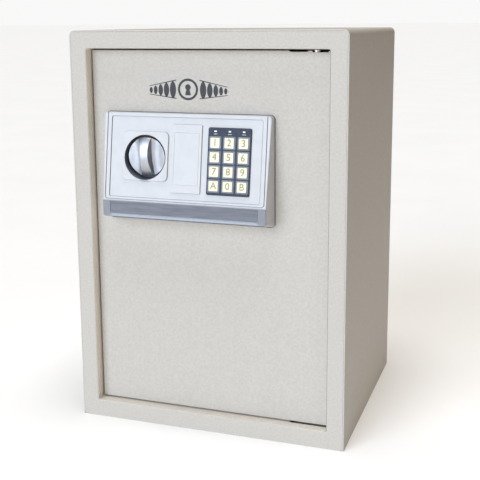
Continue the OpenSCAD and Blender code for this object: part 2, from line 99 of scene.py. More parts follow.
world = bpy.data.worlds.new("studio")
bpy.context.scene.world = world
world.use_nodes = True
room = world.node_tree.nodes
glow = room["Background"]
glow.inputs["Color"].default_value = (1.0, 0.92, 0.82, 1)
glow.inputs["Strength"].default_value = 0.10
seen = room.new("ShaderNodeBackground")
seen.inputs["Color"].default_value = (0.945, 0.945, 0.94, 1)
path = room.new("ShaderNodeLightPath")
either = room.new("ShaderNodeMixShader")
world.node_tree.links.new(path.outputs["Is Camera Ray"], either.inputs[0])
world.node_tree.links.new(glow.outputs[0], either.inputs[1])
world.node_tree.links.new(seen.outputs[0], either.inputs[2])
world.node_tree.links.new(either.outputs[0], room["World Output"].inputs["Surface"])
bpy.context.scene.view_settings.view_transform = "Standard"


def wide_sun(name, comes_from, strength, spread, colour):
    """A sun that shines from a direction; spread is its width in degrees."""
    data = bpy.data.lights.new(name, "SUN")
    data.energy = strength
    data.angle = math.radians(spread)
    data.color = colour
    lamp = bpy.data.objects.new(name, data)
    bpy.context.scene.collection.objects.link(lamp)
    lamp.location = Vector(comes_from).normalized() * 3
    lamp.rotation_mode = "QUATERNION"
    lamp.rotation_quaternion = (-Vector(comes_from)).to_track_quat("-Z", "Y")
    return lamp


wide_sun("key_lamp", (-0.36, -0.89, 0.34), 2.95, 45, (0.745, 0.845, 1.0))
wide_sun("top_lamp", (0.05, -0.05, 1), 2.7, 35, (1.0, 0.98, 0.955))

# %% [markdown]
# Every finish is a small network of nodes. Object coordinates are in metres, so a noise scale of 600 makes
# grains of about 1.5 mm. One helper builds the common case: two close colours mixed by a slow noise, a
# gloss that wanders a little, and a fine bump that catches the light.


# %% A helper for finishes
def socket(node, *names):
    """The first input that has one of these names."""
    return next(node.inputs[n] for n in names if n in node.inputs)


def finish(name, dark, light, patch=30.0, rough=(0.4, 0.5), bump=(), metallic=0.0, coat=0.0, sheen=0.0,
           stretch=(1, 1, 1), gleam=0.5):
    """A material. bump is a list of (noise scale, height in metres) for one or more grains."""
    material = bpy.data.materials.new(name)
    material.use_nodes = True
    tree = material.node_tree
    shader = tree.nodes["Principled BSDF"]
    shader.inputs["Metallic"].default_value = metallic
    socket(shader, "Specular IOR Level").default_value = gleam
    socket(shader, "Coat Weight").default_value = coat
    socket(shader, "Sheen Weight").default_value = sheen
    place = tree.nodes.new("ShaderNodeTexCoord")
    mapping = tree.nodes.new("ShaderNodeMapping")
    mapping.inputs["Scale"].default_value = stretch
    tree.links.new(place.outputs["Object"], mapping.inputs["Vector"])

    def noise(scale, detail):
        node = tree.nodes.new("ShaderNodeTexNoise")
        node.inputs["Scale"].default_value = scale
        node.inputs["Detail"].default_value = detail
        tree.links.new(mapping.outputs["Vector"], node.inputs["Vector"])
        return node

    colour = noise(patch, 4)
    ramp = tree.nodes.new("ShaderNodeValToRGB")
    ramp.color_ramp.elements[0].position = 0.35
    ramp.color_ramp.elements[1].position = 0.65
    ramp.color_ramp.elements[0].color = (*dark, 1)
    ramp.color_ramp.elements[1].color = (*light, 1)
    tree.links.new(colour.outputs["Fac"], ramp.inputs["Fac"])
    tree.links.new(ramp.outputs["Color"], shader.inputs["Base Color"])

    gloss = tree.nodes.new("ShaderNodeMapRange")
    gloss.inputs["To Min"].default_value = rough[0]
    gloss.inputs["To Max"].default_value = rough[1]
    tree.links.new(noise(patch * 2.3, 3).outputs["Fac"], gloss.inputs["Value"])
    tree.links.new(gloss.outputs["Result"], shader.inputs["Roughness"])

    normal = None
    for scale, height in bump:
        relief = tree.nodes.new("ShaderNodeBump")
        relief.inputs["Distance"].default_value = height
        tree.links.new(noise(scale, 2).outputs["Fac"], relief.inputs["Height"])
        if normal:
            tree.links.new(normal, relief.inputs["Normal"])
        normal = relief.outputs["Normal"]
    if normal:
        tree.links.new(normal, shader.inputs["Normal"])
    return material


# %% [markdown]
# The cabinet is powder coated. Powder melts into a skin of small round hills, about a millimetre and a half
# across, with finer grain on top, and its gloss is low. The paint is a warm ivory. Inside, the same paint
# lies a little smoother. On the eased edges of the door and on the left bend round the opening, a lighter
# warm cream is a painted highlight. A lighter ivory on the bottom bend is painted light, and a dark brown on
# the bend beside the hinge is painted shade. The hinge brackets are painted near black, which also gives
# painted shade in the gaps round the door.

# %% Finishes of the painted steel
ivory_coat = finish("ivory_coat", (0.50, 0.462, 0.405), (0.55, 0.512, 0.455), 420, (0.42, 0.56),
                    [(520, 0.00022), (1500, 0.00006)], gleam=0.22)
# A lighter warm cream: a painted highlight on the eased edges of the door and on the left bend of the opening.
edge_highlight = finish("edge_highlight", (0.78, 0.71, 0.61), (0.84, 0.77, 0.67), 420, (0.3, 0.42),
                   [(520, 0.00012)], gleam=0.3)
# A lighter ivory: painted light on the bottom bend of the opening, which faces up.
ledge_highlight = finish("ledge_highlight", (0.60, 0.55, 0.48), (0.65, 0.60, 0.53), 420, (0.42, 0.56), [(520, 0.00018)],
                    gleam=0.22)
inside_coat = finish("inside_coat", (0.52, 0.485, 0.43), (0.57, 0.535, 0.48), 300, (0.4, 0.55),
                     [(700, 0.00012)])
# A dark brown: painted shade on the bend beside the hinge.
lip_shade = finish("lip_shade", (0.20, 0.175, 0.14), (0.30, 0.265, 0.215), 260, (0.5, 0.65), [(520, 0.00012)],
                   gleam=0.2)
# Near black: the brackets' own paint, and also painted shade in the gaps above and below the door.
bracket_dark_gap_shade = finish("bracket_dark_gap_shade", (0.040, 0.037, 0.033), (0.065, 0.06, 0.054), 300, (0.45, 0.6),
                       [(700, 0.00012)])
print("paints:", len(bpy.data.materials))

# %% [markdown]
# The bare metals differ in grain. Zinc plate has a soft bloom, the turned pins have marks along their
# length, and brass is warm. All three mirror the room, so only their gloss and a little colour vary.

# %% Finishes of the bare metals
zinc = finish("zinc_plate", (0.50, 0.51, 0.52), (0.64, 0.64, 0.62), 90, (0.22, 0.42), [(1800, 0.00002)], 1.0)
pin_steel = finish("pin_steel", (0.55, 0.55, 0.56), (0.68, 0.68, 0.69), 220, (0.15, 0.32),
                   [(900, 0.00001)], 1.0, stretch=(1, 1, 0.1))
lock_brass = finish("lock_brass", (0.55, 0.38, 0.14), (0.70, 0.52, 0.22), 150, (0.25, 0.4),
                    [(1200, 0.00001)], 1.0)
print("metals:", [zinc.name, pin_steel.name, lock_brass.name])

# %% [markdown]
# The panel is moulded plastic. Its white has a very fine spark-eroded grain, and its silver is a paint with
# metal flakes. The strip's floor is brushed along its length and is a darker silver, which is painted
# shade. The silver of the strip's rim also floors the fine grooves in the white face, where it is painted
# shade. The keys are cream, the bezel is dark blue.

# %% Finishes of the panel
panel_white = finish("panel_white", (0.515, 0.508, 0.503), (0.545, 0.538, 0.533), 60, (0.34, 0.42),
                     [(2600, 0.000012)])
# A darker silver: the strip's sunk floor, brushed, with painted shade in its colour.
strip_shade_silver = finish("strip_shade_silver", (0.135, 0.143, 0.162), (0.18, 0.188, 0.208), 700, (0.32, 0.42),
                      [(3000, 0.00001)], 0.55, stretch=(0.06, 1, 1))
# The strip's rim silver; on the floors of the face's grooves it is painted shade.
rim_silver = finish("rim_silver", (0.205, 0.215, 0.235), (0.25, 0.26, 0.28), 900, (0.32, 0.42),
                    [(3000, 0.00001)], 0.5)
dish_grey = finish("dish_grey", (0.10, 0.11, 0.13), (0.14, 0.152, 0.175), 400, (0.3, 0.42),
                   [(1600, 0.00002)])
knob_silver = finish("knob_silver", (0.43, 0.44, 0.46), (0.49, 0.50, 0.52), 140, (0.40, 0.47),
                     [(1500, 0.000002)], 1.0)
pad_navy = finish("pad_navy", (0.018, 0.024, 0.044), (0.028, 0.036, 0.06), 300, (0.42, 0.54),
                  [(2200, 0.000015)], gleam=0.3)
well_grey = finish("well_grey", (0.15, 0.17, 0.22), (0.20, 0.22, 0.27), 300, (0.35, 0.5), [(2200, 0.00001)])
key_cream = finish("key_cream", (0.74, 0.70, 0.50), (0.80, 0.76, 0.57), 260, (0.35, 0.45),
                   [(2400, 0.00001)])
digit_brown = finish("digit_brown", (0.20, 0.175, 0.065), (0.28, 0.25, 0.105), 900, (0.45, 0.6),
                     [(3000, 0.000005)])
mark_white = finish("mark_white", (0.5, 0.52, 0.56), (0.6, 0.62, 0.66), 900, (0.4, 0.5), [(3000, 0.000005)])
lamp_white = finish("lamp_white", (0.80, 0.82, 0.86), (0.92, 0.93, 0.95), 700, (0.1, 0.2), [(900, 0.00001)],
                    coat=0.5)
ink_black = finish("ink_black", (0.010, 0.010, 0.012), (0.022, 0.022, 0.025), 700, (0.35, 0.55),
                   [(520, 0.00012)])
print("panel finishes end with", ink_black.name)

# %% [markdown]
# What sits inside needs its own finishes too: rubber, board, cells, coil and felt. The floor and the board
# of the studio come last.

# %% Finishes of the inner pieces and the studio
silicone = finish("silicone", (0.42, 0.42, 0.41), (0.52, 0.52, 0.50), 120, (0.6, 0.75), [(1200, 0.00003)])
board_green = finish("board_green", (0.01, 0.09, 0.035), (0.02, 0.15, 0.06), 350, (0.2, 0.35),
                     [(800, 0.00003)], coat=0.3)
case_black = finish("case_black", (0.012, 0.012, 0.013), (0.025, 0.025, 0.027), 200, (0.4, 0.55),
                    [(1500, 0.00003)])
cell_sleeve = finish("cell_sleeve", (0.02, 0.02, 0.022), (0.20, 0.12, 0.04), 20, (0.15, 0.28),
                     [(600, 0.00001)], coat=0.4, stretch=(0.1, 0.1, 1))
button_red = finish("button_red", (0.36, 0.02, 0.015), (0.48, 0.035, 0.025), 200, (0.2, 0.3),
                    [(900, 0.00001)], coat=0.3)
coil_tape = finish("coil_tape", (0.42, 0.27, 0.05), (0.55, 0.38, 0.10), 90, (0.35, 0.5), [(700, 0.00005)],
                   stretch=(1, 1, 6))
felt_grey = finish("felt_grey", (0.022, 0.023, 0.026), (0.065, 0.066, 0.07), 900, (0.85, 0.98),
                   [(700, 0.0006), (2500, 0.0002)], sheen=0.4)
floor_pale = finish("floor_pale", (0.87, 0.86, 0.84), (0.89, 0.88, 0.86), 3, (0.55, 0.65), [(60, 0.00002)])
floor.data.materials.append(floor_pale)
board_brown = finish("board_brown", (0.17, 0.105, 0.05), (0.20, 0.125, 0.06), 20, (0.8, 0.9), [(90, 0.0002)])
board.data.materials.append(board_brown)
print("finishes:", len(bpy.data.materials))

# %% [markdown]
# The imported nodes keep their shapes. Each one takes the finish of its material slot in the record. The
# hinge pins, the bolts, the knob's shaft and the solenoid's plunger are turned bars, and get the pins' steel.

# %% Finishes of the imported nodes
slot_finish = {
    "body_paint": ivory_coat, "inside_paint": inside_coat, "steel": zinc, "brass": lock_brass,
    "knob_silver": knob_silver, "panel_white": panel_white, "trim_silver": strip_shade_silver,
    "keypad_navy": pad_navy, "key_cream": key_cream, "led_white": lamp_white, "silicone": silicone,
    "board_green": board_green, "case_black": case_black, "cell_wrap": cell_sleeve,
    "button_red": button_red, "coil_tape": coil_tape, "felt": felt_grey,
}
slot_of = {part["node"]: part["material_slot"] for part in frame["record"]["subparts"]}
body_of = {node: body for body, nodes in frame["record"]["behaviour"]["bodies"].items() for node in nodes}
for node, ob in frame["nodes"].items():
    ob.data.materials.clear()
    ob.data.materials.append(slot_finish[slot_of[node]])
for node in ("hinge_pin_top", "hinge_pin_bottom", "bolt_upper", "bolt_lower", "knob_spindle",
             "solenoid_plunger"):
    frame["nodes"][node].data.materials[0] = pin_steel
print("painted nodes:", len(slot_of))

# %% [markdown]
# Modelling by hand goes: add a primitive, enter edit mode, select some faces or edges, and run an operator
# on them. These helpers do the selecting by place and direction, so that each piece below reads as a list
# of the steps that a person would take.


# %% Helpers for primitives
def block(name, low, high):
    """A box between two corners, its place in its mesh."""
    bpy.ops.object.select_all(action="DESELECT")
    low, high = Vector(low), Vector(high)
    bpy.ops.mesh.primitive_cube_add(size=1, location=(low + high) / 2, scale=high - low)
    bpy.ops.object.transform_apply(location=True, rotation=True, scale=True)
    ob = bpy.context.object
    ob.name = ob.data.name = name
    return ob


def rod(name, start, end, radius, sides=64):
    """A round bar between two points."""
    start, end = Vector(start), Vector(end)
    bpy.ops.object.select_all(action="DESELECT")
    bpy.ops.mesh.primitive_cylinder_add(vertices=sides, radius=radius, depth=(end - start).length,
                                        location=(start + end) / 2,
                                        rotation=(end - start).to_track_quat("Z", "Y").to_euler())
    bpy.ops.object.transform_apply(location=True, rotation=True, scale=True)
    ob = bpy.context.object
    ob.name = ob.data.name = name
    return ob


print("primitives: block, rod")

# %% [markdown]
# Next come the moves of edit mode: select by a test, then step a face in and sink it.


# %% Helpers for edit mode
def edit(ob, kind="FACE"):
    """Enters edit mode on one piece with nothing selected."""
    if bpy.context.mode != "OBJECT":
        bpy.ops.object.mode_set(mode="OBJECT")
    bpy.ops.object.select_all(action="DESELECT")
    bpy.context.view_layer.objects.active = ob
    ob.select_set(True)
    bpy.ops.object.mode_set(mode="EDIT")
    bpy.ops.mesh.select_mode(type=kind)
    bpy.ops.mesh.select_all(action="DESELECT")


def pick(ob, kind, test):
    """Selects only the faces, edges or corners that pass test(middle, direction), and counts them."""
    bpy.ops.mesh.select_mode(type=kind)
    bpy.ops.mesh.select_all(action="DESELECT")
    mesh = bmesh.from_edit_mesh(ob.data)
    found = 0
    if kind == "FACE":
        for face in mesh.faces:
            if test(face.calc_center_median(), face.normal):
                face.select_set(True)
                found += 1
    elif kind == "EDGE":
        for line in mesh.edges:
            a, b = (v.co for v in line.verts)
            if test((a + b) / 2, (b - a).normalized()):
                line.select_set(True)
                found += 1
    else:
        for corner in mesh.verts:
            if test(corner.co, corner.normal):
                corner.select_set(True)
                found += 1
    mesh.select_flush_mode()
    bmesh.update_edit_mesh(ob.data)
    return found


def done():
    """Back to object mode."""
    bpy.ops.object.mode_set(mode="OBJECT")


def fit_to(ob, left, right, bottom, top, sink=0.0):
    """Resizes and moves the selection so that it fills a rectangle, and sinks it along +Y."""
    points = [v.co for v in bmesh.from_edit_mesh(ob.data).verts if v.select]
    low_x, high_x = min(p.x for p in points), max(p.x for p in points)
    low_z, high_z = min(p.z for p in points), max(p.z for p in points)
    centre = ((low_x + high_x) / 2, points[0].y, (low_z + high_z) / 2)
    bpy.ops.transform.resize(value=((right - left) / (high_x - low_x), 1, (top - bottom) / (high_z - low_z)),
                             center_override=centre)
    bpy.ops.transform.translate(value=((left + right) / 2 - centre[0], sink, (bottom + top) / 2 - centre[2]))


def step_to(ob, left, right, bottom, top, sink):
    """Steps the selected front face to new sides, and sinks the new face."""
    bpy.ops.mesh.extrude_region_move(TRANSFORM_OT_translate={"value": (0, 0, 0)})
    fit_to(ob, left, right, bottom, top, sink)


def step_in(ob, by, sink=0.0):
    """Steps the selected front face in by one width on all four sides, and sinks it."""
    points = [v.co for v in bmesh.from_edit_mesh(ob.data).verts if v.select]
    step_to(ob, min(p.x for p in points) + by, max(p.x for p in points) - by,
            min(p.z for p in points) + by, max(p.z for p in points) - by, sink)


print("moves: fit_to, step_to, step_in")

# %% [markdown]
# Whole pieces are rounded, cut and smoothed with modifiers that are applied at once, so that every finished
# piece is a plain mesh. A tile, a flat block with round corners, is the commonest start.


# %% Helpers for whole pieces
def near(a, b, slack=0.00005):
    return abs(a - b) < slack


def apply_modifier(ob, kind, **values):
    """Adds a modifier, sets it and applies it."""
    bpy.ops.object.select_all(action="DESELECT")
    bpy.context.view_layer.objects.active = ob
    ob.select_set(True)
    modifier = ob.modifiers.new(kind.lower(), kind)
    for key, value in values.items():
        setattr(modifier, key, value)
    bpy.ops.object.modifier_apply(modifier=modifier.name)


def soften(ob, width, segments=2, angle=35):
    """Rounds every sharp edge by a small width."""
    apply_modifier(ob, "BEVEL", width=width, segments=segments, limit_method="ANGLE",
                   angle_limit=math.radians(angle), use_clamp_overlap=True)


def cut(ob, *tools):
    """Takes the tools' shapes away from a piece, and removes the tools."""
    for tool in tools:
        apply_modifier(ob, "BOOLEAN", operation="DIFFERENCE", object=tool, solver="EXACT")
        bpy.data.objects.remove(tool)


def smooth(ob, angle=35, flat_first=True):
    """Smooth shading up to an angle; broad flat faces keep their own direction."""
    bpy.ops.object.select_all(action="DESELECT")
    bpy.context.view_layer.objects.active = ob
    ob.select_set(True)
    bpy.ops.object.shade_smooth_by_angle(angle=math.radians(angle))
    if flat_first:
        apply_modifier(ob, "WEIGHTED_NORMAL", keep_sharp=True, weight=90)


def outward(ob):
    """Turns every face of a closed piece outwards, after its doubles are merged."""
    edit(ob, "VERT")
    bpy.ops.mesh.select_all(action="SELECT")
    bpy.ops.mesh.remove_doubles(threshold=0.000002)
    bpy.ops.mesh.normals_make_consistent(inside=False)
    done()


def tile(name, low, high, corner, rim=0.0, segments=5):
    """A flat block with round corners seen from the front, and a rounded front rim."""
    ob = block(name, (low[0], low[1] + rim, low[2]), high)
    edit(ob)
    pick(ob, "EDGE", lambda p, d: abs(d.y) > 0.9)
    bpy.ops.mesh.bevel(offset=corner, segments=segments, affect="EDGES")
    pick(ob, "FACE", lambda p, n: n.y < -0.95)
    turns = [math.radians(90 * step / 4) for step in range(5)] if rim else []
    for before, after in zip(turns, turns[1:]):
        step_in(ob, rim * (math.cos(before) - math.cos(after)), rim * (math.sin(before) - math.sin(after)))
    done()
    return ob


def paint_sides(ob, material, test):
    """Gives the faces that pass test(middle, direction) one more finish."""
    ob.data.materials.append(material)
    for face in ob.data.polygons:
        if test(face.center, face.normal):
            face.material_index = len(ob.data.materials) - 1


def place(ob, material, node=None, body=None, slot=None):
    """Gives a finished piece its finish and its body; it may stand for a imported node."""
    if material:
        ob.data.materials.clear()
        ob.data.materials.append(material)
    if node:
        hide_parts(node)
    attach(ob, body or body_of[node])
    print(ob.name, "faces:", len(ob.data.polygons))
    return ob


# %% [markdown]
# Real sheet metal and moulded plastic have no knife-sharp edges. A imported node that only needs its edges
# broken is copied, its loose triangles are merged and its flat faces joined, and then a narrow bevel runs
# along every sharp edge. The copy stands for the node.


# %% Copies with soft edges
def softened(node, width, material=None, segments=2):
    """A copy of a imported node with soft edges."""
    source = frame["nodes"][node]
    ob = bpy.data.objects.new(node + "_piece", source.data.copy())
    bpy.context.scene.collection.objects.link(ob)
    edit(ob, "VERT")
    bpy.ops.mesh.select_all(action="SELECT")
    bpy.ops.mesh.customdata_custom_splitnormals_clear()
    bpy.ops.mesh.remove_doubles(threshold=0.000005)
    bpy.ops.mesh.dissolve_limited(angle_limit=math.radians(0.5))
    done()
    soften(ob, width, segments)
    smooth(ob)
    return place(ob, material or source.data.materials[0], node)


edge_widths = {
    "back_plate": 0.4, "bottom_plate": 0.4, "bolt_strike": 0.5, "hinge_bracket_top": 0.5,
    "hinge_bracket_bottom": 0.5, "shelf": 0.6, "shelf_supports": 0.5, "hinge_lugs": 0.6, "inner_cover": 0.5,
    "bolt_upper": 0.8, "bolt_lower": 0.8, "door_pan": 0.6, "cover_screws": 0.3, "lock_tongue": 0.4,
    "battery_lid": 0.5, "reset_button": 0.4, "battery_case": 0.3,
}
for node, width in edge_widths.items():
    # The hinge brackets get the near-black paint, which also serves as painted shade in the gaps round the door.
    softened(node, width * MM, bracket_dark_gap_shade if node.startswith("hinge_bracket") else None)

# %% [markdown]
# The wrapper is one sheet, bent down at both sides. A box is given round top edges with a bevel, its open
# faces are deleted, and Solidify gives the sheet its 2 mm. The cut edges at the front and back are then
# eased.

# %% The wrapper
sheet_t = 2 * MM
bend = 7 * MM
low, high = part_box("shell_wrap")
wrapper = block("wrapper", low, high)
edit(wrapper)
pick(wrapper, "EDGE", lambda p, d: abs(d.y) > 0.9 and near(p.z, high.z))
bpy.ops.mesh.bevel(offset=bend, segments=10, affect="EDGES")
pick(wrapper, "FACE", lambda p, n: abs(n.y) > 0.9 or n.z < -0.9)
bpy.ops.mesh.delete(type="FACE")
done()
apply_modifier(wrapper, "SOLIDIFY", thickness=sheet_t, offset=-1, use_even_offset=True)
soften(wrapper, 0.7 * MM, 3)
smooth(wrapper)
place(wrapper, ivory_coat, "shell_wrap")

# %% [markdown]
# The front frame is a second sheet: a flat border, folded back round the opening. Its outline starts at the
# back edge of the fold as a round-cornered loop. The loop is extruded forwards, then in four small steps
# round the bend, and last outwards to the wrapper. Near the hinge the fold is cut short, so that the door's
# edge can turn behind it. The left bend gets a painted highlight, the bottom bend painted light, and the
# bend beside the hinge painted shade in dark brown.

# %% The front frame
low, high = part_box("front_frame")
door_low, door_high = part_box("door_plate")
door_gap = 2 * MM
open_low = Vector((door_low.x - door_gap, low.y, door_low.z - door_gap))
open_high = Vector((door_high.x + door_gap, low.y, door_high.z + door_gap))
fold_r = 1.3 * MM
fold_end_x = 104 * MM
surround = tile("front_frame_sheet", (open_low.x, high.y, open_low.z),
                (open_high.x, high.y + MM, open_high.z), 2.6 * MM)
edit(surround)
pick(surround, "FACE", lambda p, n: n.y > -0.9)
bpy.ops.mesh.delete(type="FACE")
bpy.ops.mesh.select_all(action="SELECT")
bpy.ops.mesh.delete(type="ONLY_FACE")
bpy.ops.mesh.select_mode(type="EDGE")
bpy.ops.mesh.select_all(action="SELECT")
bpy.ops.mesh.extrude_edges_move(TRANSFORM_OT_translate={"value": (0, low.y + fold_r - high.y, 0)})
for step in range(4):
    before, after = math.radians(22.5 * step), math.radians(22.5 * (step + 1))
    step_in(surround, fold_r * (math.cos(after) - math.cos(before)),
            fold_r * (math.sin(before) - math.sin(after)))
step_to(surround, low.x, high.x, low.z, high.z, 0)
bpy.ops.mesh.select_all(action="SELECT")
bpy.ops.mesh.normals_make_consistent(inside=False)
if sum(f.normal.y * f.calc_area() for f in bmesh.from_edit_mesh(surround.data).faces) > 0:
    bpy.ops.mesh.flip_normals()
done()
apply_modifier(surround, "SOLIDIFY", thickness=sheet_t, offset=-1, use_even_offset=True)
cut(surround, block("cutter", (fold_end_x, door_low.y - 0.5 * MM, -0.01), (0.2, 0.1, 0.6)))
outward(surround)
smooth(surround)
place(surround, ivory_coat, "front_frame")
# The left bend gets the lighter cream as a painted highlight.
paint_sides(surround, edge_highlight, lambda p, n: abs(n.y) < 0.6 and p.y < door_low.y
            and abs(p.x - open_low.x) < 2 * MM and open_low.z + MM < p.z < open_high.z)
# The bottom bend gets the lighter ivory as painted light.
paint_sides(surround, ledge_highlight, lambda p, n: abs(n.y) < 0.6 and abs(p.z - open_low.z) < 2 * MM
            and abs(p.x) < open_high.x)
# The bend beside the hinge gets the dark brown as painted shade.
paint_sides(surround, lip_shade, lambda p, n: 0.3 < abs(n.y) < 0.9
            and open_high.x - 4 * MM < p.x < open_high.x + MM and open_low.z < p.z < open_high.z)

# %% [markdown]
# The door is a 4 mm plate with eased edges. At its top right corner it is filed back round the hinge pin,
# so a dark slot shows there. The shafts of the knob and the emergency lock and the panel's cable pass
# through three holes under the panel. Its eased edges and sides are a lighter, warmer cream, which is a
# painted highlight.

# %% The door plate
knob_low, knob_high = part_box("knob_spindle")
knob_x, knob_z = (knob_low.x + knob_high.x) / 2, (knob_low.z + knob_high.z) / 2
lock_low, lock_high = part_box("lock_plug")
lock_x = (lock_low.x + lock_high.x) / 2
pad_low, pad_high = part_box("keypad_bezel")
cable_x = (pad_low.x + pad_high.x) / 2
pin_low, pin_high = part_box("hinge_pin_top")
hinge_x = (pin_low.x + pin_high.x) / 2
door = block("door_skin", door_low, door_high)
front, back = door_low.y - MM, door_high.y + MM
cut(door,
    block("cutter", (hinge_x - 31 * MM, front, door_high.z - 1.3 * MM), (hinge_x - 9 * MM, back, 1)),
    block("cutter", (hinge_x - 4 * MM, front, door_high.z - 1.7 * MM), (hinge_x + 15 * MM, back, 1)),
    rod("cutter", (knob_x, front, knob_z), (knob_x, back, knob_z), 6.05 * MM),
    rod("cutter", (lock_x, front, knob_z), (lock_x, back, knob_z), 9 * MM),
    rod("cutter", (cable_x, front, knob_z), (cable_x, back, knob_z), 7 * MM))
soften(door, 1.1 * MM, 3)
smooth(door)
place(door, ivory_coat, "door_plate")
# The eased edges and sides get a lighter warm cream: a painted highlight.
paint_sides(door, edge_highlight, lambda p, n: abs(n.y) < 0.93)

# %% [markdown]
# The panel's face leans back. Pieces that lie on it are modelled upright at the origin's height, with X
# across, Y inwards and Z up the face, and then laid on the slope with one transform. The slope's angle
# comes from the direction in which the keys are pressed.

# %% The slope of the panel
press = next(Vector(j["axis"]) for j in frame["joints"] if j["name"] == "key_1_press")
tilt = math.atan2(-press.z, press.y)
panel_low, panel_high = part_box("panel_housing")
strip_low, strip_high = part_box("panel_trim_strip")
door_y = door_low.y
foot = Vector((0, panel_low.y, strip_high.z + 0.5 * MM))
slope = Matrix.Translation(foot) @ Matrix.Rotation(-tilt, 4, "X")
unslope = slope.inverted()


def slope_box(node):
    """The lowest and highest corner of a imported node, measured on the slope."""
    points = [unslope @ v.co for v in frame["nodes"][node].data.vertices]
    return (Vector(min(p[i] for p in points) for i in range(3)),
            Vector(max(p[i] for p in points) for i in range(3)))


def lay(ob):
    """Lays a finished piece on the slope, and leaves its object at the origin."""
    bpy.ops.object.select_all(action="DESELECT")
    bpy.context.view_layer.objects.active = ob
    ob.select_set(True)
    ob.matrix_world = slope
    bpy.ops.object.transform_apply(location=True, rotation=True, scale=True)
    return ob


print("slope in degrees:", round(math.degrees(tilt), 2))

# %% [markdown]
# The panel's housing is one moulding: a hollow wedge whose sides lean in towards the front, as on every
# moulding, so that it comes out of its tool. A box is cut to the profile and its sides are drawn in. A
# smaller wedge of the same kind, taken away from it, leaves a wall of even thickness.

# %% The panel's wedge
draft = math.tan(math.radians(8.4))
centre_x = (panel_low.x + panel_high.x) / 2
half = (panel_high.x - panel_low.x) / 2
top_t = 8 * MM
low_t = door_y - panel_low.y
seat_t = low_t - MM
wall = 2.5 * MM


def wedge(name, inset, back):
    """The panel's solid form, drawn in by an inset on every side but the back."""
    low = (panel_low.x + inset, panel_low.y + inset, panel_low.z + inset)
    ob = block(name, low, (panel_high.x - inset, back, panel_high.z - inset))
    edit(ob)
    bpy.ops.mesh.select_all(action="SELECT")
    bpy.ops.mesh.bisect(plane_co=foot, plane_no=(0, 0, 1))
    pick(ob, "VERT", lambda p, n: near(p.y, low[1]) and near(p.z, panel_high.z - inset))
    bpy.ops.transform.translate(value=(0, low_t - top_t, 0))
    pick(ob, "VERT", lambda p, n: near(p.y, low[1]) and near(p.z, low[2]))
    bpy.ops.transform.translate(value=(0, MM, strip_low.z - panel_low.z))
    for deep, up in ((top_t, panel_high.z - inset), (low_t, foot.z), (seat_t, strip_low.z + inset)):
        pick(ob, "VERT", lambda p, n: near(p.y, door_y - deep + inset) and near(p.z, up))
        bpy.ops.transform.resize(value=(1 - deep * draft / (half - inset), 1, 1),
                                 center_override=(centre_x, 0, 0))
    done()
    return ob


housing = wedge("panel_shell", 0, door_y)
edit(housing)
pick(housing, "EDGE", lambda p, d: near(p.z, panel_high.z, 0.0006) and abs(d.x) < 0.5)
bpy.ops.mesh.bevel(offset=4.5 * MM, segments=6, affect="EDGES")
pick(housing, "EDGE", lambda p, d: panel_low.z + MM < p.z < strip_low.z and abs(d.x) < 0.5)
bpy.ops.mesh.bevel(offset=3 * MM, segments=4, affect="EDGES")
pick(housing, "FACE", lambda p, n: n.y < -0.9 and p.z > foot.z)
bpy.ops.mesh.region_to_loop()
bpy.ops.mesh.bevel(offset=1.2 * MM, segments=4, affect="EDGES")
done()
cut(housing, wedge("cutter", wall, door_y + MM))
print("wedge of", round(2000 * half), "mm, wall", round(1000 * wall, 1), "mm")

# %% [markdown]
# The face is worked like the real tool's insert. A shallow rectangle is sunk in it, and fine grooves run
# round it and divide it from the bars at its sides. The grooves' floors are a darker silver, which is
# painted shade. Each cutter is a tile that is laid on the slope and then taken away.

# %% Cutters for the panel's face
bezel_low, bezel_high = slope_box("keypad_bezel")
plate_low, plate_high = slope_box("key_cover")
square_low, square_high = slope_box("knob_bezel")
side = (square_high.x - square_low.x) / 2
seam = 0.4 * MM
face_top = (panel_high.z - foot.z) / math.cos(tilt)
gap = 0.5 * MM
groove_x, groove_w, groove_up, groove_deep = 103.4 * MM, 1.0 * MM, 1.2 * MM, 1.5 * MM
sunk, sunk_x, sunk_in = MM, 97.8 * MM, 4.4 * MM
pocket_r = 29.2 * MM


def slope_cutter(left, right, bottom, top, deep, corner):
    """A tile that reaches from in front of the slope to a depth behind it."""
    return lay(tile("cutter", (left, -5 * MM, bottom), (right, deep, top), corner))


def ring_cutter(reach, bottom, top, width, deep, corner):
    """A cutter for a fine groove along a rectangle with round corners."""
    ring = tile("cutter", (centre_x - reach, -5 * MM, bottom), (centre_x + reach, deep, top), corner)
    cut(ring, tile("core", (centre_x - reach + width, -6 * MM, bottom + width),
                   (centre_x + reach - width, deep + MM, top - width), corner - width))
    return lay(ring)


print("sunk face of", round(2000 * sunk_x), "mm, grooves", round(1000 * groove_deep, 1), "mm deep")

# %% [markdown]
# Every pocket is cut in one go. The square, the cover and the keypad each get a pocket a little larger than
# themselves, so that a fine dark seam runs round them, and a deeper opening behind.

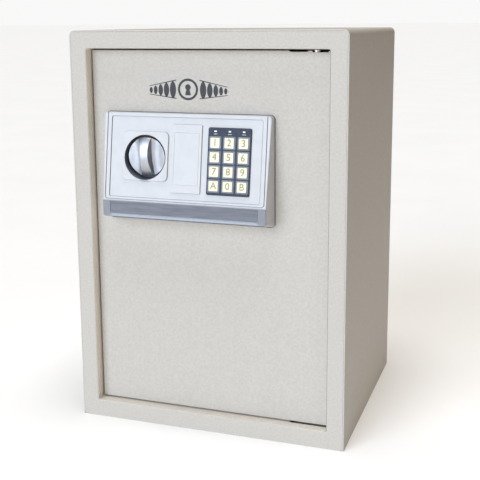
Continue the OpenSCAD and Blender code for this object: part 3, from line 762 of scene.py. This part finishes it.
# %% The pockets in the face
cut(housing,
    slope_cutter(centre_x - sunk_x, centre_x + sunk_x, sunk_in, face_top - sunk_in, sunk, 2.6 * MM),
    ring_cutter(groove_x, groove_up, 0.2, groove_w, groove_deep, 4 * MM),
    ring_cutter(sunk_x, sunk_in, face_top - sunk_in, 0.7 * MM, groove_deep, 2.6 * MM),
    rod("cutter", (knob_x, door_y - 0.05, knob_z), (knob_x, door_y - 3 * MM, knob_z), pocket_r, 96),
    slope_cutter(plate_low.x - gap, plate_high.x + gap, plate_low.z - gap, plate_high.z + gap,
                 1.3 * MM, 1.2 * MM),
    slope_cutter(plate_low.x + 2 * MM, plate_high.x - 2 * MM, plate_low.z + 2 * MM, plate_high.z - 2 * MM,
                 7 * MM, MM),
    slope_cutter(square_low.x - seam, square_high.x + seam, square_high.z - 2 * side - seam,
                 square_high.z + seam, 0.9 * MM, 6 * MM + seam),
    slope_cutter(bezel_low.x - seam, bezel_high.x + seam, bezel_low.z - seam, bezel_high.z + seam, 0.9 * MM,
                 2.2 * MM + seam),
    slope_cutter(bezel_low.x + 1.5 * MM, bezel_high.x - 1.5 * MM, bezel_low.z + 1.5 * MM,
                 bezel_high.z - 1.5 * MM, 7 * MM, MM))
smooth(housing, 30)
place(housing, panel_white, "panel_housing")
# The grooves' floors get the darker silver: painted shade.
paint_sides(housing, rim_silver, lambda p, n: near((unslope @ p).y, groove_deep, 0.0001))

# %% [markdown]
# A thin dark seal lies between the housing and the door. It stands out a little, and draws a fine dark line
# round the panel's foot, which is painted shade where the panel meets the door.

# %% The seal
# A near-black rim round the panel's foot: a seal, and painted shade where the panel meets the door.
gasket_shade_out = 0.5 * MM
gasket_shade = tile("panel_gasket_shade", (panel_low.x - gasket_shade_out, door_y - 0.9 * MM, panel_low.z - gasket_shade_out),
            (panel_high.x + gasket_shade_out, door_y, panel_high.z + gasket_shade_out), 5 * MM, 0.3 * MM)
cut(gasket_shade, block("cutter", (panel_low.x + 3 * MM, door_y - 0.01, panel_low.z + 3 * MM),
                (panel_high.x - 3 * MM, door_y + 0.01, panel_high.z - 3 * MM)))
smooth(gasket_shade, 30)
place(gasket_shade, case_black, body="door", slot="case_black")

# %% [markdown]
# Under the white face runs a silver strip with a long sunk rectangle. Its floor is a darker silver, which
# is painted shade, and its lower side is a broad slope that catches the light. It is a block whose front
# face is stepped inwards.

# %% The silver strip
strip = block("silver_strip", strip_low, strip_high)
edit(strip)
pick(strip, "EDGE", lambda p, d: abs(d.y) > 0.9 and p.z < strip_low.z + MM)
bpy.ops.mesh.bevel(offset=3 * MM, segments=5, affect="EDGES")
pick(strip, "FACE", lambda p, n: n.y < -0.9)
long_x, floor_sink = 96 * MM, 0.8 * MM
step_to(strip, centre_x - long_x, centre_x + long_x, strip_low.z + 1.5 * MM, strip_high.z - 0.8 * MM, 0)
step_to(strip, centre_x - long_x + 0.8 * MM, centre_x + long_x - 0.8 * MM, strip_low.z + 4.2 * MM,
        strip_high.z - 1.1 * MM, floor_sink)
done()
smooth(strip, 30)
place(strip, rim_silver, "panel_trim_strip")
# The sunk floor gets the darker silver: painted shade.
paint_sides(strip, strip_shade_silver, lambda p, n: p.y > strip_low.y + 0.7 * MM and n.y < -0.9 and abs(p.x) < 0.1
            and near(p.z, (strip_low.z + strip_high.z) / 2, 5 * MM))

# %% [markdown]
# A raised square with round corners surrounds the knob. The dish behind it is a dark cup: a tube along the
# knob's shaft, sliced by the slope in front and closed by a floor at the door.

# %% The square and the dish round the knob
dish_r = 27.3 * MM
mid_up = square_high.z - side
square = tile("knob_square", (knob_x - side, -MM, mid_up - side), (knob_x + side, MM, mid_up + side), 6 * MM,
              0.7 * MM, 8)
lay(square)
cut(square, rod("cutter", (knob_x, door_y - 0.05, knob_z), (knob_x, door_y, knob_z), dish_r, 96))
smooth(square, 30)
place(square, panel_white, body="door", slot="panel_white")

dish = rod("knob_dish", (knob_x, door_y - 0.05, knob_z), (knob_x, door_y - 0.2 * MM, knob_z),
           dish_r + 1.6 * MM, 96)
cut(dish,
    rod("cutter", (knob_x, door_y - 0.06, knob_z), (knob_x, door_y - 2 * MM, knob_z), dish_r - 0.05 * MM, 96),
    rod("cutter", (knob_x, door_y - 0.06, knob_z), (knob_x, door_y + MM, knob_z), 6.05 * MM, 48))
edit(dish)
bpy.ops.mesh.select_all(action="SELECT")
bpy.ops.mesh.bisect(plane_co=slope @ Vector((0, -0.4 * MM, 0)), plane_no=slope.to_3x3() @ Vector((0, -1, 0)),
                    clear_outer=True, use_fill=True)
done()
outward(dish)
smooth(dish, 30)
place(dish, dish_grey, "knob_bezel", slot="panel_white")

# %% [markdown]
# The knob's face is one flowing surface: a flat disc that dips beside an upright grip, and a grip that is
# arched in front and waisted at its middle. A grid primitive has the right topology for it. Its columns are
# bent to follow the grip's waist, and each point gets its height from where it lies across the grip.

# %% The knob
grip_low, grip_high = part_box("knob_grip")
disc_r = (grip_high.z - grip_low.z) / 2
disc_front = grip_high.y - 8 * MM
grip_h = disc_front - grip_low.y - 0.1 * MM
arch_r = 38 * MM
top_share, wall_share = 0.26, 0.52
COLUMNS, ROWS = 150, 110


def knob_point(u, s):
    """Across, up and height on the knob's face for u and s from -1 to 1."""
    share = abs(u)
    z_guess = s * disc_r
    waist = (5.8 + 2.6 * (z_guess / disc_r) ** 2) * MM
    crest, toe = waist - 1.0 * MM, waist + 1.3 * MM
    arch = grip_h - (arch_r - math.sqrt(arch_r ** 2 - z_guess ** 2))
    if share < top_share:
        x = crest * share / top_share
        height = arch - 0.25 * MM * (share / top_share) ** 2
    elif share < wall_share:
        q = (share - top_share) / (wall_share - top_share)
        x = crest + (toe - crest) * q
        height = (arch - 0.25 * MM) * (0.5 + 0.5 * math.cos(math.pi * q))
    else:
        q = (share - wall_share) / (1 - wall_share)
        x = toe + (disc_r - toe) * q
        height = -1.3 * MM * math.sin(math.pi * q ** 0.75) ** 1.5
    z = s * math.sqrt(max(disc_r ** 2 - x ** 2, 0))
    return math.copysign(x, u), z, height


bpy.ops.object.select_all(action="DESELECT")
bpy.ops.mesh.primitive_grid_add(x_subdivisions=COLUMNS, y_subdivisions=ROWS, size=2)
knob = bpy.context.object
knob.name = knob.data.name = "knob"
for corner in knob.data.vertices:
    x, z, height = knob_point(corner.co.x, corner.co.y)
    corner.co = (knob_x + x, disc_front - height, knob_z + z)
edit(knob, "VERT")
bpy.ops.mesh.select_all(action="SELECT")
bpy.ops.mesh.remove_doubles(threshold=0.00002)
bpy.ops.mesh.select_all(action="DESELECT")
bpy.ops.mesh.select_mode(type="EDGE")
bpy.ops.mesh.select_non_manifold(extend=False, use_wire=False, use_multi_face=False, use_non_contiguous=False,
                                 use_verts=False)
bpy.ops.mesh.extrude_edges_move(TRANSFORM_OT_translate={"value": (0, 1.2 * MM, 0)})
bpy.ops.mesh.extrude_edges_move(TRANSFORM_OT_translate={"value": (0, 0, 0)})
bpy.ops.transform.resize(value=(1, 0, 1), center_override=(knob_x, grip_high.y, knob_z))
bpy.ops.mesh.edge_face_add()
done()
outward(knob)
smooth(knob, 40, flat_first=False)
turn = math.radians(4)
edit(knob, "VERT")
bpy.ops.mesh.select_all(action="SELECT")
bpy.ops.transform.rotate(value=turn, orient_axis="Y", center_override=(knob_x, 0, knob_z))
done()
place(knob, knob_silver, "knob_grip")

# %% [markdown]
# The cover over the emergency lock is a push-in plate, nearly flush, with a thin line scored round its
# middle. The score is an inset that goes down and comes back up. Two legs behind it snap into the housing.

# %% The key cover
plate = tile("cover_plate", (plate_low.x, plate_low.y, plate_low.z),
             (plate_high.x, 0.9 * MM, plate_high.z), MM, 0.35 * MM)
edit(plate)
pick(plate, "FACE", lambda p, n: n.y < -0.97)
step_to(plate, plate_low.x + 2.8 * MM, plate_high.x - 2.8 * MM, plate_low.z + 9.5 * MM,
        plate_high.z - 9.5 * MM, 0)
step_in(plate, 0.3 * MM, 0.25 * MM)
step_in(plate, 0.3 * MM, -0.25 * MM)
done()
for z in (plate_low.z + 6 * MM, plate_high.z - 6 * MM):
    leg = block("leg", (lock_x - 5 * MM, 0.6 * MM, z - MM), (lock_x + 5 * MM, plate_high.y, z + MM))
    apply_modifier(plate, "BOOLEAN", operation="UNION", object=leg, solver="EXACT")
    bpy.data.objects.remove(leg)
smooth(plate, 30)
lay(plate)
place(plate, panel_white, "key_cover")

# %% [markdown]
# The keypad's bezel is dark blue. It is a tile with twelve square wells and three small windows. A thin
# grey rim stands round each well.

# %% The keypad's bezel
key_nodes = ["key_" + k for k in "123456789a0b"]
key_boxes = {node: slope_box(node) for node in key_nodes}
key_mid = {node: (a + b) / 2 for node, (a, b) in key_boxes.items()}
key_half = Vector((6, 0, 6.2)) * MM
well = 0.4 * MM
bezel = tile("keypad_frame", bezel_low, (bezel_high.x, 1.4 * MM, bezel_high.z), 2.2 * MM, 0.5 * MM)
lamp_up = bezel_high.z - 4.5 * MM
lamp_columns = [key_mid[n].x for n in ("key_1", "key_2", "key_3")]
cut(bezel,
    *[block("cutter", (m.x - key_half.x - well, -0.01, m.z - key_half.z - well),
            (m.x + key_half.x + well, 0.01, m.z + key_half.z + well)) for m in key_mid.values()],
    *[block("cutter", (x - 1.7 * MM, -0.01, lamp_up - 0.9 * MM), (x + 1.7 * MM, 0.01, lamp_up + 0.9 * MM))
      for x in lamp_columns])
smooth(bezel, 30)
lay(bezel)
place(bezel, pad_navy, "keypad_bezel")

rim_w = 1.2 * MM
reach = key_half + Vector((well + rim_w, 0, well + rim_w))
for index, middle in enumerate(key_mid.values()):
    low = Vector((middle.x - reach.x, bezel_low.y - 0.3 * MM, middle.z - reach.z))
    high = Vector((middle.x + reach.x, bezel_low.y + 0.3 * MM, middle.z + reach.z))
    rim = tile("well_rim_%02d" % (index + 1), low, high, 1.3 * MM, 0.3 * MM, 3)
    cut(rim, block("cutter", (low.x + rim_w, -0.01, low.z + rim_w), (high.x - rim_w, 0.01, high.z - rim_w)))
    smooth(rim, 30)
    lay(rim)
    place(rim, well_grey, body="door", slot="keypad_navy")

# %% [markdown]
# Each key is a small cap with a dished top. A block gets round corners, a rounded rim, and a top that sinks
# a little towards its middle, so a fingertip finds it. The digit is printed: thin, and just proud of the
# dish.

# %% The keys
legends = dict(zip(key_nodes, "123456789A0B"))


def flat_text(name, letters, size):
    """Text as a thin mesh that faces -Y, centred on the origin."""
    bpy.ops.object.select_all(action="DESELECT")
    bpy.ops.object.text_add()
    ob = bpy.context.object
    ob.data.body = letters
    ob.data.size = size
    ob.data.extrude = 0.04 * MM
    ob.data.align_x = "CENTER"
    ob.data.align_y = "CENTER"
    bpy.ops.object.convert(target="MESH")
    ob = bpy.context.object
    ob.name = ob.data.name = name
    ob.rotation_euler = (math.pi / 2, 0, 0)
    bpy.ops.object.transform_apply(location=True, rotation=True, scale=True)
    outward(ob)
    return ob


for node, middle in key_mid.items():
    face_y = key_boxes[node][0].y
    under = key_boxes[node][1].y
    cap = tile(node + "_cap", (middle.x - key_half.x, face_y, middle.z - key_half.z),
               (middle.x + key_half.x, under, middle.z + key_half.z), 0.9 * MM, 0.55 * MM, 4)
    edit(cap)
    pick(cap, "FACE", lambda p, n: n.y < -0.97)
    step_in(cap, 0.5 * MM, 0.04 * MM)
    step_in(cap, 1.6 * MM, 0.12 * MM)
    done()
    smooth(cap, 30)
    lay(cap)
    place(cap, key_cream, node)
    digit = flat_text(node + "_legend", legends[node], 11.6 * MM)
    edit(digit, "VERT")
    bpy.ops.mesh.select_all(action="SELECT")
    bpy.ops.transform.translate(value=(middle.x, face_y + 0.14 * MM, middle.z))
    done()
    lay(digit)
    place(digit, digit_brown, body=node, slot="key_cream")

# %% [markdown]
# Three small lamps sit above the keys, each with a short printed tick under it. The lens is a block with
# its front rim rounded into a low dome.

# %% The lamps and their ticks
for index, x in enumerate(lamp_columns):
    lens = tile("lamp_lens_%d" % (index + 1), (x - 1.6 * MM, bezel_low.y - 0.5 * MM, lamp_up - 0.8 * MM),
                (x + 1.6 * MM, 2 * MM, lamp_up + 0.8 * MM), 0.4 * MM, 0.35 * MM, 4)
    smooth(lens, 30)
    lay(lens)
    if index == 0:
        place(lens, lamp_white, "led_lenses")
    else:
        place(lens, lamp_white, body="door", slot="led_white")
    tick = tile("lamp_tick_%d" % (index + 1), (x - 2.4 * MM, bezel_low.y - 0.06 * MM, lamp_up - 3.5 * MM),
                (x + 2.4 * MM, bezel_low.y + 0.1 * MM, lamp_up - 2.9 * MM), 0.25 * MM)
    smooth(tick, 30)
    lay(tick)
    place(tick, mark_white, body="door", slot="led_white")

# %% [markdown]
# Above the panel the door carries a printed ornament: a ring with a keyhole in it, between two rows of
# leaves that grow smaller outwards. It is ink on paint, so it is a tenth of a millimetre thick. One leaf is
# drawn as an outline of two arcs and copied at other sizes.

# %% The ornament
ink_y = door_y - 0.12 * MM
mark_x, mark_z = centre_x, 0.4295


def ink_shape(name, points):
    """A thin ink shape on the door from an outline of (x, z) points, in mm, round the ornament's middle."""
    mesh = bpy.data.meshes.new(name)
    mesh.from_pydata([(mark_x + x * MM, ink_y, mark_z + z * MM) for x, z in points], [],
                     [list(range(len(points)))])
    ob = bpy.data.objects.new(name, mesh)
    bpy.context.scene.collection.objects.link(ob)
    edit(ob)
    bpy.ops.mesh.select_all(action="SELECT")
    bpy.ops.mesh.extrude_region_move(TRANSFORM_OT_translate={"value": (0, 0.16 * MM, 0)})
    done()
    outward(ob)
    return place(ob, ink_black, body="door", slot="body_paint")


def leaf(middle, up, width, height):
    """The outline of an upright leaf: two arcs that meet in points."""
    turns = [math.pi * step / 12 for step in range(12)]
    right_arc = [(middle + width / 2 * math.sin(t) ** 1.3, up + height / 2 * math.cos(t)) for t in turns]
    left_arc = [(2 * middle - x, 2 * up - z) for x, z in right_arc]
    return right_arc + left_arc


ring = rod("mark_ring", (mark_x, ink_y, mark_z), (mark_x, door_y + 0.04 * MM, mark_z), 13 * MM, 72)
cut(ring, rod("cutter", (mark_x, ink_y - 1, mark_z), (mark_x, door_y + 1, mark_z), 10.2 * MM, 72))
place(ring, ink_black, body="door", slot="body_paint")
arc = [(math.sin(a), math.cos(a)) for a in (math.radians(t) for t in range(-145, 146, 10))]
ink_shape("mark_keyhole", [(3.6 * x, 2.6 + 3.6 * z) for x, z in arc] + [(3.8, -7), (-3.8, -7)])
leaves = ((19.5, 8, 21), (28, 7, 17.5), (35.6, 6, 14), (42.3, 5, 10.5), (48.2, 4.2, 7.5))
for hand in (-1, 1):
    for index, (out, width, height) in enumerate(leaves):
        ink_shape("mark_leaf_%d_%d" % (hand + 1, index + 1), leaf(hand * out, -0.03 * out, width, height))
    for rise in (-1, 1):
        bar = [(15, rise * 11.6), (15, rise * 10.4), (50.5, rise * 4.6 - 1.4),
               (50.5, rise * 5.3 - 1.4)]
        ink_shape("mark_bar_%d_%d" % (hand + 1, rise + 1), [(hand * x, z) for x, z in bar])

# %% [markdown]
# A felt mat lies on the cabinet's floor. Felt is never quite flat: a fine grid is lifted by a slow wave,
# given its thickness, and cut round the anchor holes.

# %% The felt mat
low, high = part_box("floor_mat")
bpy.ops.object.select_all(action="DESELECT")
bpy.ops.mesh.primitive_grid_add(x_subdivisions=60, y_subdivisions=50, size=1,
                                location=((low.x + high.x) / 2, (low.y + high.y) / 2, high.z - 0.5 * MM),
                                scale=(1, 1, 1))
mat = bpy.context.object
mat.name = mat.data.name = "felt_mat"
mat.scale = (high.x - low.x, high.y - low.y, 1)
bpy.ops.object.transform_apply(location=True, rotation=True, scale=True)
for corner in mat.data.vertices:
    corner.co.z += 0.4 * MM * math.sin(corner.co.x * 31 + 1) * math.sin(corner.co.y * 23)
apply_modifier(mat, "SOLIDIFY", thickness=2.4 * MM, offset=-1)
cut(mat, *[rod("cutter", (x, 0, 0), (x, 0, 0.02), 11.5 * MM, 48) for x in (-0.09, 0.09)])
smooth(mat, 40)
place(mat, felt_grey, "floor_mat")
